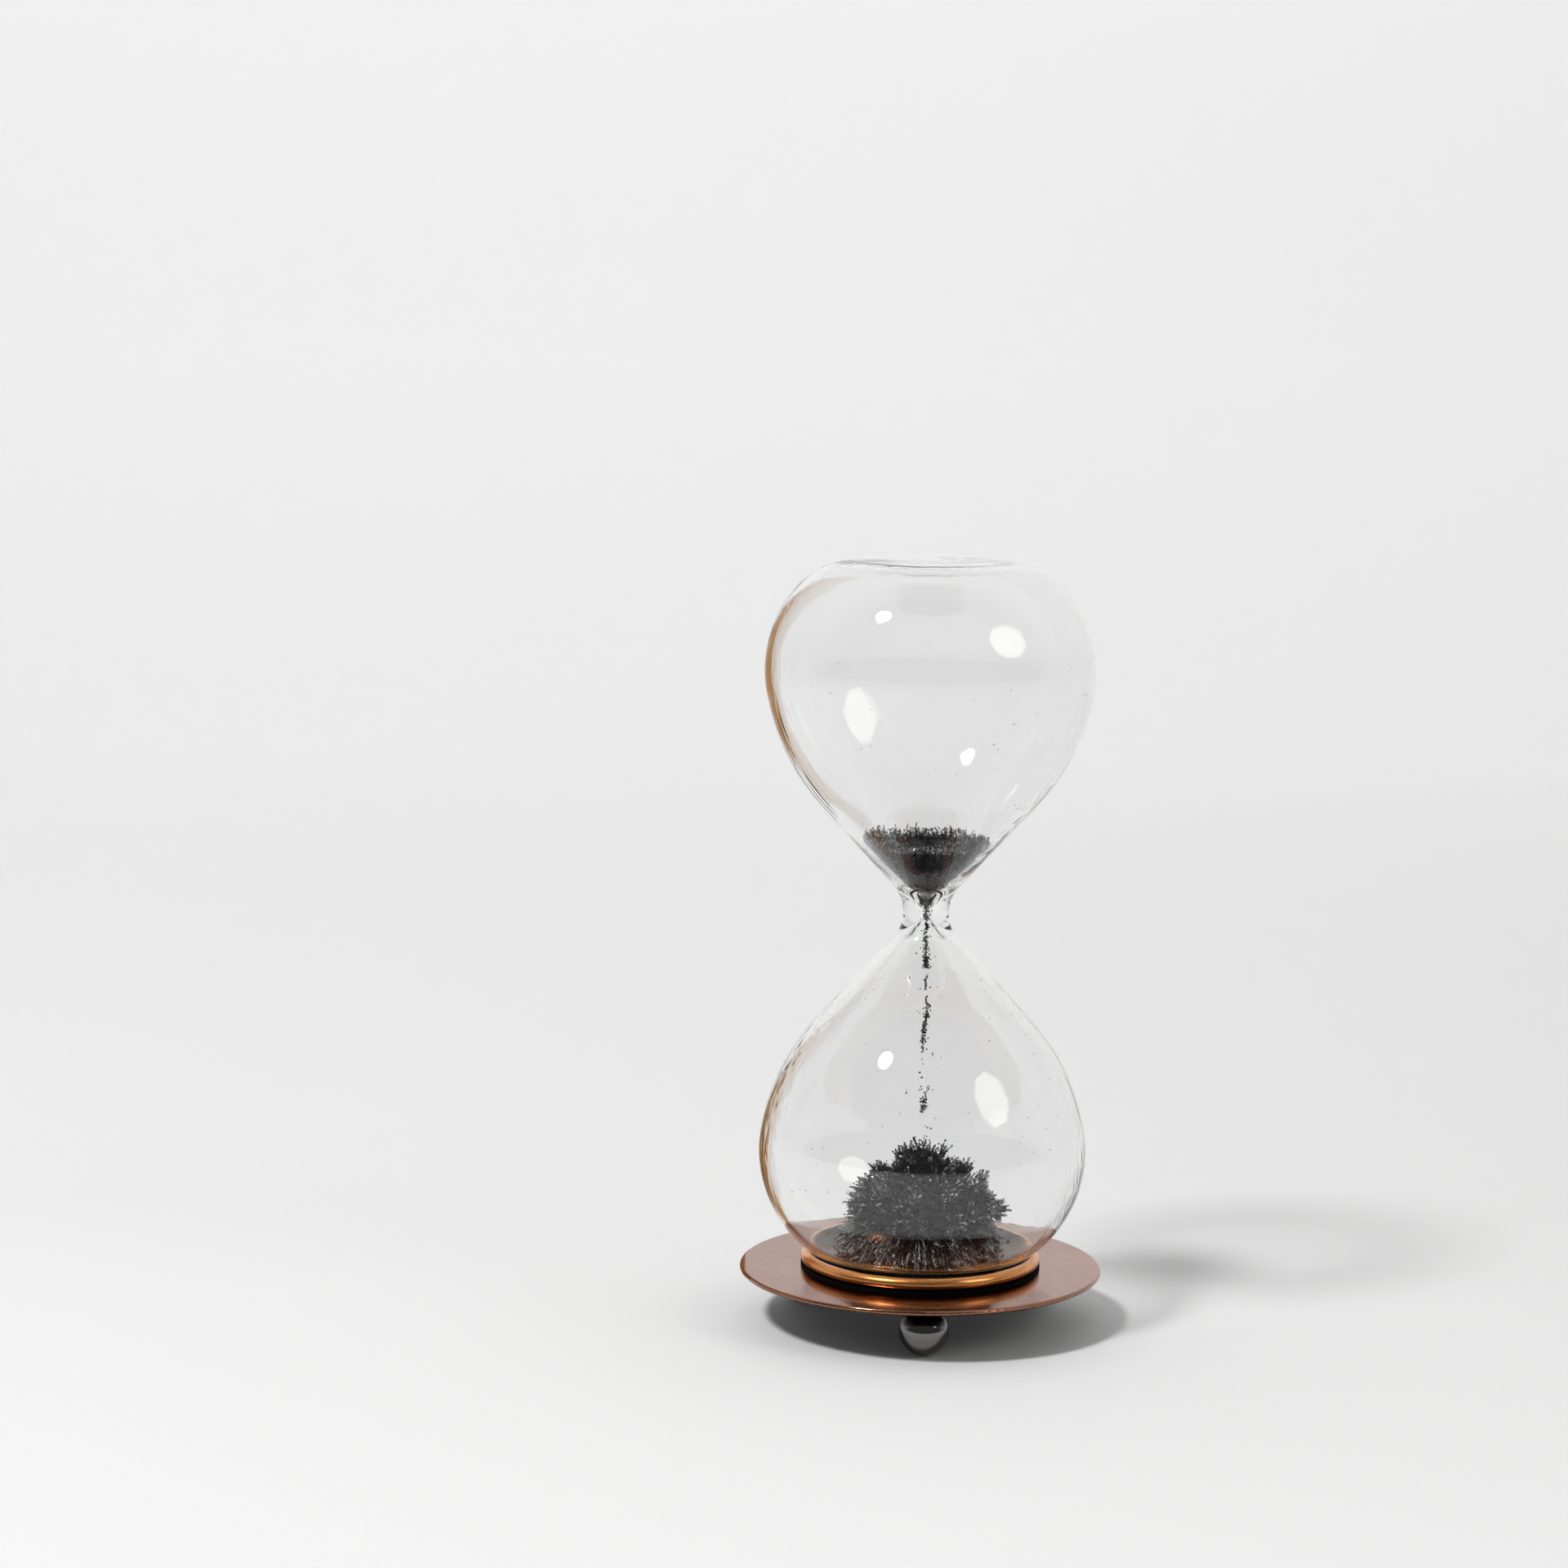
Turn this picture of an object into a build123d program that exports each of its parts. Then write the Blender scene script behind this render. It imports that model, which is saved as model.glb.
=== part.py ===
from build123d import *

import os

os.makedirs("parts", exist_ok=True)

# Magnetic hourglass: a sealed glass vessel of iron filings, standing loose in a ring cradle.
# Millimetres, +Z up. The origin is on the plate's axis, at the level the feet stand on.

# Stand: a disc on three ball feet, with a wire ring on a thin pad
PLATE_DIAMETER = 80.0
PLATE_THICKNESS = 1.1
PLATE_EDGE_ROUND = 0.5
BALL_DIAMETER = 10.7
BALL_FLAT_DEPTH = 0.7
FOOT_CIRCLE_RADIUS = 30.0
COLLAR_DIAMETER = 4.8
COLLAR_HEIGHT = 1.1
STUD_DIAMETER = 3.0
STUD_LENGTH = 4.5
STUD_CHAMFER = 0.3
STUD_HOLE_CLEARANCE = 0.05
STUD_HOLE_SPARE_DEPTH = 0.5
PAD_DIAMETER = 53.0
PAD_THICKNESS = 0.5
RING_WIRE_DIAMETER = 2.9
RING_PITCH_DIAMETER = 50.1

# Magnet, taped under the middle of the plate
MAGNET_DIAMETER = 36.0
MAGNET_THICKNESS = 5.0
MAGNET_CHAMFER = 0.5
TAPE_DIAMETER = 34.0
TAPE_THICKNESS = 0.3

# Glass vessel: two equal bulbs, the lower one the mirror image of the upper one.
# From the flat land at its end, a bulb is three tangent arcs, a straight flank and the neck's arc.
# Inside, the wall thickens down the funnel: the funnel's side is given as radius and height above the neck.
VESSEL_ABOVE_PAD = 1.2
HALF_LENGTH = 77.55
GLASS_WALL = 1.3
LAND_OUTER_RADIUS = 17.5
LAND_INNER_RADIUS = 12.0
DIMPLE_DEPTH = 0.6
SHOULDER_RADIUS = 13.7
SHOULDER_SWEEP = 40.3
BELLY_RADIUS = 27.5
BELLY_SWEEP = 59.4
FLANK_RADIUS = 49.2
FLANK_SWEEP = 32.4
NECK_RADIUS = 5.0
BORE_RADIUS = 0.9
FUNNEL_CORNER_HEIGHT = 1.0
FUNNEL_SIDE = [(16.95, 18.5), (14.15, 15.5), (10.3, 11.5), (5.9, 7.2), (2.3, 3.6)]
SEAL_RADIUS = 3.3
SEAL_HEIGHT = 0.35

# Filings: a funnel full above the neck, a falling stream and a mound over the magnet.
# Heights are above the neck, or above the mound's base.
GRAIN_GAP = 0.25
HEAP_TOP = 15.5
HEAP_DISH = 0.8
HEAP_TIP = 1.8
STREAM_RADIUS = 0.6
STREAM_ROUND = 0.3
STREAM_RUNS = [(1.2, -12.6), (-14.2, -17.6), (-18.2, -31.4), (-38.8, -45.0)]
MOUND_RADIUS = 19.0
MOUND_HEIGHT = 24.4
MOUND_SIDE = [(18.4, 3.0), (16.6, 9.0), (14.4, 14.0), (9.5, 18.8), (4.0, 22.8)]

# Levels worked out from the sizes above
ball_top_z = BALL_DIAMETER - BALL_FLAT_DEPTH
plate_bottom_z = ball_top_z + COLLAR_HEIGHT
plate_top_z = plate_bottom_z + PLATE_THICKNESS
pad_top_z = plate_top_z + PAD_THICKNESS
neck_z = pad_top_z + VESSEL_ABOVE_PAD + HALF_LENGTH
chamber_half_length = HALF_LENGTH - GLASS_WALL
mound_base_z = neck_z - chamber_half_length + DIMPLE_DEPTH + GRAIN_GAP

# Foot directions about the plate's axis, in degrees from +X
FEET = {"front": -90.0, "right": 30.0, "left": 150.0}

# Sections are drawn with x as the radius, and y as the height above the neck or the mound's base
neck_section = Plane((0, 0, neck_z), x_dir=(1, 0, 0), z_dir=(0, -1, 0))
mound_section = Plane((0, 0, mound_base_z), x_dir=(1, 0, 0), z_dir=(0, -1, 0))


def end_wall(inset):
    """The dimpled end and the flat land round it, set in from the outside by inset."""
    level = HALF_LENGTH - inset
    dimple = Spline((0, level - DIMPLE_DEPTH), (LAND_INNER_RADIUS, level), tangents=[(1, 0), (1, 0)])
    land = Line(dimple @ 1, (LAND_OUTER_RADIUS, level))
    return dimple, land


def bulb_wall(start, inset):
    """The three tangent arcs from the land round the belly to the flank."""
    shoulder = JernArc(start, (1, 0), SHOULDER_RADIUS - inset, -SHOULDER_SWEEP)
    belly = JernArc(shoulder @ 1, shoulder % 1, BELLY_RADIUS - inset, -BELLY_SWEEP)
    return JernArc(belly @ 1, belly % 1, FLANK_RADIUS - inset, -FLANK_SWEEP)


def outside_neck_wall(start, corner):
    """A straight flank towards the corner, then an arc that is vertical at the neck's level."""
    direction = (corner - start).normalized()
    flank = Line(start, corner - direction * corner.Y)
    return TangentArc(flank @ 1, (corner.X, 0), tangent=flank % 1)


def funnel_wall(start, heading):
    """The funnel's side down to the bore, then the bore down to the neck's level."""
    funnel = Spline(start, *FUNNEL_SIDE, (BORE_RADIUS, FUNNEL_CORNER_HEIGHT), tangents=[heading, (0, -1)])
    return funnel, Line(funnel @ 1, (BORE_RADIUS, 0))


# ---------------------------------------------------------------- stand
with BuildPart() as base_plate:
    with BuildSketch(Plane.XY.offset(plate_bottom_z)):
        Circle(PLATE_DIAMETER / 2)
    extrude(amount=PLATE_THICKNESS)
    fillet(base_plate.edges().filter_by(GeomType.CIRCLE), radius=PLATE_EDGE_ROUND)
base_plate.part.label = "base_plate"
export_step(base_plate.part, "parts/base_plate.step")

with BuildPart() as cradle_pad:
    with BuildSketch(Plane.XY.offset(plate_top_z)):
        Circle(PAD_DIAMETER / 2)
    extrude(amount=PAD_THICKNESS)
cradle_pad.part.label = "cradle_pad"
export_step(cradle_pad.part, "parts/cradle_pad.step")

with BuildPart() as cradle_ring:
    with BuildSketch(Plane.XZ):
        with Locations((RING_PITCH_DIAMETER / 2, pad_top_z + RING_WIRE_DIAMETER / 2)):
            Circle(RING_WIRE_DIAMETER / 2)
    revolve(axis=Axis.Z)
cradle_ring.part.label = "cradle_ring"
export_step(cradle_ring.part, "parts/cradle_ring.step")

# Each ball hangs on a collared stud fixed under the plate
for side, angle in FEET.items():
    foot_axis = Plane(Location((0, 0, 0), (0, 0, angle)) * Location((FOOT_CIRCLE_RADIUS, 0, 0)))

    with BuildPart() as foot_stud:
        with BuildSketch(foot_axis.offset(ball_top_z)):
            Circle(COLLAR_DIAMETER / 2)
        extrude(amount=COLLAR_HEIGHT)
        with BuildSketch(foot_axis.offset(ball_top_z)):
            Circle(STUD_DIAMETER / 2)
        extrude(amount=-STUD_LENGTH)
        chamfer(foot_stud.edges().group_by(Axis.Z)[0], length=STUD_CHAMFER)
    foot_stud.part.label = f"foot_stud_{side}"
    export_step(foot_stud.part, f"parts/foot_stud_{side}.step")

    with BuildPart() as ball_foot:
        with Locations(foot_axis.offset(BALL_DIAMETER / 2)):
            Sphere(BALL_DIAMETER / 2)
        split(bisect_by=foot_axis.offset(ball_top_z), keep=Keep.BOTTOM)
        with Locations(foot_axis.offset(ball_top_z)):
            Hole(STUD_DIAMETER / 2 + STUD_HOLE_CLEARANCE, depth=STUD_LENGTH + STUD_HOLE_SPARE_DEPTH)
    ball_foot.part.label = f"ball_foot_{side}"
    export_step(ball_foot.part, f"parts/ball_foot_{side}.step")


# ---------------------------------------------------------------- magnet
with BuildPart() as magnet_tape:
    with BuildSketch(Plane.XY.offset(plate_bottom_z)):
        Circle(TAPE_DIAMETER / 2)
    extrude(amount=-TAPE_THICKNESS)
magnet_tape.part.label = "magnet_tape"
export_step(magnet_tape.part, "parts/magnet_tape.step")

with BuildPart() as magnet_disc:
    with BuildSketch(Plane.XY.offset(plate_bottom_z - TAPE_THICKNESS)):
        Circle(MAGNET_DIAMETER / 2)
    extrude(amount=-MAGNET_THICKNESS)
    chamfer(magnet_disc.edges().filter_by(GeomType.CIRCLE), length=MAGNET_CHAMFER)
magnet_disc.part.label = "magnet_disc"
export_step(magnet_disc.part, "parts/magnet_disc.step")


# ---------------------------------------------------------------- glass
with BuildPart() as glass_vessel:
    with BuildSketch(neck_section):
        with BuildLine():
            outside_dimple, outside_land = end_wall(0)
            outside_bulb = bulb_wall(outside_land @ 1, 0)
            flank_start, flank_run = outside_bulb @ 1, outside_bulb % 1
            neck_corner = flank_start + flank_run * ((NECK_RADIUS - flank_start.X) / flank_run.X)
            outside_neck = outside_neck_wall(flank_start, neck_corner)
            inside_dimple, inside_land = end_wall(GLASS_WALL)
            inside_bulb = bulb_wall(inside_land @ 1, GLASS_WALL)
            inside_funnel, inside_neck = funnel_wall(inside_bulb @ 1, inside_bulb % 1)
            Line(outside_neck @ 1, inside_neck @ 1)
            Line(inside_dimple @ 0, outside_dimple @ 0)
        make_face()
        mirror(about=Plane.XZ)
    revolve(axis=Axis.Z)
    # The bead where the top end was closed over the flame
    with BuildSketch(neck_section):
        with BuildLine():
            bead_foot = Vector(SEAL_RADIUS, HALF_LENGTH - DIMPLE_DEPTH)
            bead = TangentArc((0, bead_foot.Y + SEAL_HEIGHT), bead_foot, tangent=(1, 0))
            Polyline(bead_foot, bead_foot - (0, SEAL_HEIGHT), (0, bead_foot.Y - SEAL_HEIGHT), bead @ 0)
        make_face()
    revolve(axis=Axis.Z)
glass_vessel.part.label = "glass_vessel"
export_step(glass_vessel.part, "parts/glass_vessel.step")


# ---------------------------------------------------------------- filings
funnel_points = [inside_funnel @ (step / 30) for step in range(31)]
heap_side = [Vector(p.X - GRAIN_GAP, p.Y) for p in funnel_points if HEAP_TIP < p.Y <= HEAP_TOP]

with BuildPart() as filings_heap:
    with BuildSketch(neck_section):
        with BuildLine():
            heap_flank = Spline(*heap_side)
            heap_dish = Spline((0, heap_side[0].Y - HEAP_DISH), heap_side[0], tangents=[(1, 0), (1, 0)])
            Polyline(heap_flank @ 1, (0, heap_side[-1].Y), heap_dish @ 0)
        make_face()
    revolve(axis=Axis.Z)
filings_heap.part.label = "filings_heap"
export_step(filings_heap.part, "parts/filings_heap.step")

with BuildPart() as filings_stream:
    for run_top, run_bottom in STREAM_RUNS:
        with BuildSketch(Plane.XY.offset(neck_z + run_bottom)):
            Circle(STREAM_RADIUS)
        extrude(amount=run_top - run_bottom)
    fillet(filings_stream.edges().filter_by(GeomType.CIRCLE), radius=STREAM_ROUND)
filings_stream.part.label = "filings_stream"
export_step(filings_stream.part, "parts/filings_stream.step")

with BuildPart() as filings_mound:
    with BuildSketch(mound_section):
        with BuildLine():
            mound_skin = Spline((MOUND_RADIUS, 0), *MOUND_SIDE, (0, MOUND_HEIGHT))
            Polyline(mound_skin @ 1, (0, 0), mound_skin @ 0)
        make_face()
    revolve(axis=Axis.Z)
filings_mound.part.label = "filings_mound"
export_step(filings_mound.part, "parts/filings_mound.step")
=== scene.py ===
import math

import bpy
import numpy as np
from mathutils import Matrix, Vector


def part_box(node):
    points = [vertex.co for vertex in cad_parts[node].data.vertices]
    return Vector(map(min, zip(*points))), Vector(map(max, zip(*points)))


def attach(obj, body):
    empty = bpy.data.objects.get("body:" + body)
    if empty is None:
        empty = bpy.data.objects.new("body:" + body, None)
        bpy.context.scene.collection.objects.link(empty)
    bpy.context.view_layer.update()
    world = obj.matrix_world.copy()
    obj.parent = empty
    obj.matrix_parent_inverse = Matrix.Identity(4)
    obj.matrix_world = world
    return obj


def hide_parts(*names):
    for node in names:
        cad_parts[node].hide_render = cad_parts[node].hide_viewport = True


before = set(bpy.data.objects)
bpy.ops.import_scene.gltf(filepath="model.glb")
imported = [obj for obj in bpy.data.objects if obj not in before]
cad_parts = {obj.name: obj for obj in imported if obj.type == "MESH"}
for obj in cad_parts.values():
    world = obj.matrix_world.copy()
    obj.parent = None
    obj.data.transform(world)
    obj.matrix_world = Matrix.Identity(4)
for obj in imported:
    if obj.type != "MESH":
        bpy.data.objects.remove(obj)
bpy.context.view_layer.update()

# Magnetic hourglass. Lengths are in metres, written as millimetres times MM.
MM = 0.001
rng = np.random.default_rng(583)

# ---------------------------------------------------------------- driving dimensions
plate_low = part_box("base_plate")[0]
ring_low, ring_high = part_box("cradle_ring")
glass_low, glass_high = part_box("glass_vessel")
heap_low, heap_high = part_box("filings_heap")
mound_low, mound_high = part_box("filings_mound")

NECK_Z = (glass_low.z + glass_high.z) / 2
HALF_LENGTH = (glass_high.z - glass_low.z) / 2

# The glass wall's outline, from the flat land at a bulb's end to the neck. Each arc is a radius and the
# degrees it turns, and the funnel's side inside is given as radius and height above the neck.
GLASS_WALL = 1.3 * MM
LAND_OUTER_RADIUS = 17.5 * MM
LAND_INNER_RADIUS = 12.0 * MM
DIMPLE_DEPTH = 0.6 * MM
BULB_ARCS = [(13.7 * MM, 40.3), (27.5 * MM, 59.4), (49.2 * MM, 32.4)]
NECK_RADIUS = 5.0 * MM
BORE_RADIUS = 0.9 * MM
FUNNEL_CORNER_HEIGHT = 1.0 * MM
FUNNEL_SIDE = [
    (16.95 * MM, 18.5 * MM), (14.15 * MM, 15.5 * MM), (10.3 * MM, 11.5 * MM), (5.9 * MM, 7.2 * MM),
    (2.3 * MM, 3.6 * MM),
]
SEAL_RADIUS = 3.3 * MM
SEAL_HEIGHT = 0.35 * MM
GLASS_SEGMENTS = 192
OUTER_RIPPLE = 0.015 * MM
INNER_RIPPLE = 0.025 * MM


# ---------------------------------------------------------------- node helpers
def new_material(name):
    """A material with its node tree and its Principled shader."""
    material = bpy.data.materials.new(name)
    material.use_nodes = True
    return material, material.node_tree, material.node_tree.nodes["Principled BSDF"]


def add_node(tree, kind, inputs=None, **settings):
    """A node whose inputs are values or the sockets they come from."""
    made = tree.nodes.new(kind)
    for key, value in settings.items():
        setattr(made, key, value)
    for key, value in (inputs or {}).items():
        if isinstance(value, bpy.types.NodeSocket):
            tree.links.new(value, made.inputs[key])
        else:
            made.inputs[key].default_value = value
    return made


def constants(shader, **values):
    """Sets constant values on the shader's own sockets."""
    for key, value in values.items():
        shader.inputs[key.replace("_", " ")].default_value = value


def scalar_math(tree, operation, first, second):
    """One number worked out from two."""
    return add_node(tree, "ShaderNodeMath", {0: first, 1: second}, operation=operation).outputs[0]


def vector_math(tree, operation, first, second):
    """One vector worked out from two."""
    return add_node(tree, "ShaderNodeVectorMath", {0: first, 1: second}, operation=operation).outputs[0]


def axis_value(tree, vector, axis):
    """One component of a vector."""
    return add_node(tree, "ShaderNodeSeparateXYZ", {0: vector}).outputs[axis]


def noise(tree, vector, scale, detail=4.0, roughness=0.5):
    """A noise texture's factor."""
    settings = {"Vector": vector, "Scale": scale, "Detail": detail, "Roughness": roughness}
    return add_node(tree, "ShaderNodeTexNoise", settings).outputs["Fac"]


def ramp(tree, factor, low, high, to_low, to_high):
    """Maps a factor between low and high onto to_low and to_high."""
    settings = {"Value": factor, "From Min": low, "From Max": high, "To Min": to_low, "To Max": to_high}
    return add_node(tree, "ShaderNodeMapRange", settings).outputs["Result"]


def blend_colours(tree, factor, first, second):
    """A mix of two colours or colour sockets."""
    mix = add_node(tree, "ShaderNodeMix", data_type="RGBA")
    for socket, value in (("Factor", factor), ("A", first), ("B", second)):
        target = [s for s in mix.inputs if s.name == socket and s.enabled][0]
        if isinstance(value, bpy.types.NodeSocket):
            tree.links.new(value, target)
        else:
            target.default_value = value
    return [s for s in mix.outputs if s.enabled][0]


def bump(tree, height, strength, distance):
    """A bump node's normal, with the distance in metres."""
    settings = {"Height": height, "Strength": strength, "Distance": distance}
    return add_node(tree, "ShaderNodeBump", settings).outputs["Normal"]


def object_position(tree):
    """The surface point in the piece's own coordinates, which are the row frame's."""
    return add_node(tree, "ShaderNodeTexCoord").outputs["Object"]


def off_axis(tree, position):
    """A position's vector from the Z axis, and its length."""
    flat = vector_math(tree, "MULTIPLY", position, (1, 1, 0))
    length = add_node(tree, "ShaderNodeVectorMath", {0: flat}, operation="LENGTH").outputs["Value"]
    return flat, length


def spin_lines(tree, scale):
    """Fine rings round the Z axis, as turning leaves them."""
    flat, radius = off_axis(tree, object_position(tree))
    bow = add_node(tree, "ShaderNodeVectorMath", {0: flat, "Scale": 0.02}, operation="SCALE").outputs[0]
    ring = add_node(tree, "ShaderNodeCombineXYZ", {"X": radius}).outputs[0]
    return noise(tree, vector_math(tree, "ADD", ring, bow), scale, detail=3.0, roughness=0.6)


def grey(level):
    return (level, level, level, 1.0)


# ---------------------------------------------------------------- materials
# Each copper's bright and dark plating
PLATE_COPPER = [(0.36, 0.155, 0.092, 1), (0.27, 0.108, 0.061, 1)]
RING_COPPER = [(0.87, 0.37, 0.11, 1), (0.68, 0.255, 0.065, 1)]
# Painted shade: near-black copper drawn where shade falls, under the plate and on the ring's hidden sides
PAINTED_SHADE_COPPER = (0.006, 0.0035, 0.003, 1)


def copper_material(name, bright, dark, polish, coat, coat_roughness, shaded):
    """Antique copper plating: satin with faint spin lines and uneven darkening, under clear lacquer.
    Shaded gives a factor from a tree: 0 on show and 1 where painted shade draws the plating near black and
    takes its lacquer's shine away."""
    material, tree, shader = new_material(name)
    position = object_position(tree)
    clouds = noise(tree, position, 60.0, detail=4.0, roughness=0.55)
    mottle = noise(tree, position, 420.0, detail=5.0, roughness=0.6)
    rings = spin_lines(tree, 5200.0)
    tarnish = scalar_math(tree, "MULTIPLY", clouds, mottle)
    shade = ramp(tree, tarnish, 0.12, 0.40, 0.0, 1.0)
    plated = blend_colours(tree, shade, dark, bright)
    # Painted shade: where the factor is 1 the colour goes near black and the coat goes
    painted_shade = shaded(tree)
    colour = blend_colours(tree, painted_shade, plated, PAINTED_SHADE_COPPER)
    tree.links.new(colour, shader.inputs["Base Color"])
    tree.links.new(ramp(tree, painted_shade, 0.0, 1.0, coat, 0.0), shader.inputs["Coat Weight"])
    tree.links.new(ramp(tree, rings, 0.3, 0.7, polish - 0.03, polish + 0.05), shader.inputs["Roughness"])
    tree.links.new(bump(tree, rings, 0.06, 0.01 * MM), shader.inputs["Normal"])
    constants(shader, Metallic=1.0, Coat_Roughness=coat_roughness, Coat_IOR=1.5)
    return material


def underside(tree):
    """1 below the plate's edge, where the steel's underside is drawn near black as painted shade under the
    plate, and 0 above it.
    """
    height = axis_value(tree, object_position(tree), "Z")
    return ramp(tree, height, plate_low.z + 0.2 * MM, plate_low.z + 0.4 * MM, 1.0, 0.0)


def painted_ring_shade(tree):
    """Rises towards the ring's underside and its inner side, which are drawn dark: painted shade on the inner
    side and a painted dark reflection on the underside.
    """
    position = object_position(tree)
    height = axis_value(tree, position, "Z")
    radius = off_axis(tree, position)[1]
    wander = ramp(tree, noise(tree, position, 90.0, detail=3.0), 0.3, 0.7, -0.12 * MM, 0.12 * MM)
    level = scalar_math(tree, "ADD", height, wander)
    wire = ring_high.z - ring_low.z
    below = ramp(tree, level, ring_low.z + 0.15 * wire, ring_low.z + 0.55 * wire, 0.95, 0.0)
    inner = ramp(tree, radius, ring_high.x - 0.68 * wire, ring_high.x - 0.5 * wire, 0.97, 0.0)
    return scalar_math(tree, "MAXIMUM", below, inner)


def glass_material():
    """Clear blown glass, with drawn streaks in patches on the inside skin.
    Lamps shine through it, a little less at the edges."""
    material, tree, shader = new_material("clear_glass")
    constants(shader, Transmission_Weight=1.0, IOR=1.5, Roughness=0.0)
    position = object_position(tree)
    tint = blend_colours(tree, noise(tree, position, 30.0), (0.985, 0.99, 0.985, 1), (0.975, 0.982, 0.978, 1))
    tree.links.new(tint, shader.inputs["Base Color"])

    # Streaks: noise drawn out along a slanted axis, in patches, on the inside skin only
    slant = add_node(tree, "ShaderNodeVectorRotate", {"Vector": position, "Angle": 0.55})
    slant.rotation_type = "Y_AXIS"
    drawn = vector_math(tree, "MULTIPLY", slant.outputs[0], (330.0, 330.0, 34.0))
    streaks = noise(tree, drawn, 1.0, detail=1.0)
    patch = ramp(tree, noise(tree, position, 26.0, detail=1.0), 0.42, 0.62, 0.0, 1.0)
    inner = add_node(tree, "ShaderNodeAttribute", attribute_name="inner_skin").outputs["Fac"]
    height = scalar_math(tree, "MULTIPLY", streaks, scalar_math(tree, "MULTIPLY", patch, inner))
    tree.links.new(bump(tree, height, 1.0, 0.12 * MM), shader.inputs["Normal"])

    # Lamps and scattered light pass straight through
    edge = add_node(tree, "ShaderNodeLayerWeight", {"Blend": 0.28}).outputs["Facing"]
    shadow = blend_colours(tree, edge, (0.96, 0.96, 0.96, 1), (0.62, 0.62, 0.62, 1))
    clear = add_node(tree, "ShaderNodeBsdfTransparent", {"Color": shadow})
    path = add_node(tree, "ShaderNodeLightPath").outputs
    straight = scalar_math(tree, "MAXIMUM", path["Is Shadow Ray"], path["Is Diffuse Ray"])
    mix = add_node(
        tree, "ShaderNodeMixShader", {0: straight, 1: shader.outputs[0], 2: clear.outputs[0]}
    )
    tree.links.new(mix.outputs[0], tree.nodes["Material Output"].inputs["Surface"])
    return material


def filings_material():
    """Iron filings: dark grey metal, each grain as light as its own tone and painted shading, and uneven
    within it; pieces that carry none are drawn near black.
    """
    material, tree, shader = new_material("iron_filings")
    position = object_position(tree)
    grit = noise(tree, position, 2200.0, detail=1.0, roughness=0.6)
    speckle = ramp(tree, grit, 0.35, 0.65, 0.55, 1.2)
    light = add_node(tree, "ShaderNodeAttribute", attribute_name="tone_and_painted_shading").outputs["Fac"]
    patch = ramp(tree, noise(tree, position, 380.0, detail=1.0), 0.4, 0.6, 0.1, 1.9)
    tone = scalar_math(tree, "MULTIPLY", scalar_math(tree, "MULTIPLY", speckle, patch), light)
    colour = blend_colours(tree, tone, grey(0.004), (0.53, 0.535, 0.54, 1))
    tree.links.new(colour, shader.inputs["Base Color"])
    tree.links.new(ramp(tree, speckle, 0.5, 1.2, 0.32, 0.5), shader.inputs["Roughness"])
    constants(shader, Metallic=0.75)
    return material


def black_nickel_material():
    """Polished black nickel with a breath of haze and hairline scratches."""
    material, tree, shader = new_material("black_nickel")
    position = object_position(tree)
    haze = noise(tree, position, 240.0, detail=5.0)
    stretched = vector_math(tree, "MULTIPLY", position, (1.0, 0.15, 3.0))
    scratches = noise(tree, stretched, 1500.0, detail=6.0, roughness=0.7)
    colour = blend_colours(tree, haze, (0.17, 0.16, 0.155, 1), (0.22, 0.208, 0.2, 1))
    tree.links.new(colour, shader.inputs["Base Color"])
    tree.links.new(ramp(tree, haze, 0.3, 0.75, 0.05, 0.13), shader.inputs["Roughness"])
    tree.links.new(bump(tree, scratches, 0.04, 0.01 * MM), shader.inputs["Normal"])
    constants(shader, Metallic=1.0)
    return material


def cell_distance(tree, position, scale):
    """How far a point is from the middle of its cell, as in foam."""
    settings = {"Vector": position, "Scale": scale, "Randomness": 1.0}
    return add_node(tree, "ShaderNodeTexVoronoi", settings).outputs["Distance"]


def rubber_material():
    """Matt black foam rubber with open pores and a little dust."""
    material, tree, shader = new_material("foam_rubber")
    position = object_position(tree)
    pores = cell_distance(tree, position, 2600.0)
    dust = noise(tree, position, 500.0, detail=6.0, roughness=0.7)
    colour = blend_colours(tree, ramp(tree, dust, 0.6, 0.85, 0.0, 1.0), grey(0.0015), grey(0.012))
    tree.links.new(colour, shader.inputs["Base Color"])
    tree.links.new(ramp(tree, pores, 0.0, 0.6, 0.95, 0.75), shader.inputs["Roughness"])
    tree.links.new(bump(tree, pores, 0.5, 0.1 * MM), shader.inputs["Normal"])
    constants(shader, Specular_IOR_Level=0.08)
    return material


def turned_steel_material():
    """Turned steel with fine tool rings and grey oxide."""
    material, tree, shader = new_material("turned_steel")
    position = object_position(tree)
    lathe = vector_math(tree, "MULTIPLY", position, (0.05, 0.05, 1.0))
    rings = noise(tree, lathe, 9000.0, detail=3.0)
    oxide = noise(tree, position, 700.0, detail=5.0)
    colour = blend_colours(tree, oxide, grey(0.18), grey(0.42))
    tree.links.new(colour, shader.inputs["Base Color"])
    tree.links.new(ramp(tree, rings, 0.3, 0.7, 0.25, 0.45), shader.inputs["Roughness"])
    tree.links.new(bump(tree, rings, 0.2, 0.03 * MM), shader.inputs["Normal"])
    constants(shader, Metallic=1.0)
    return material


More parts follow.
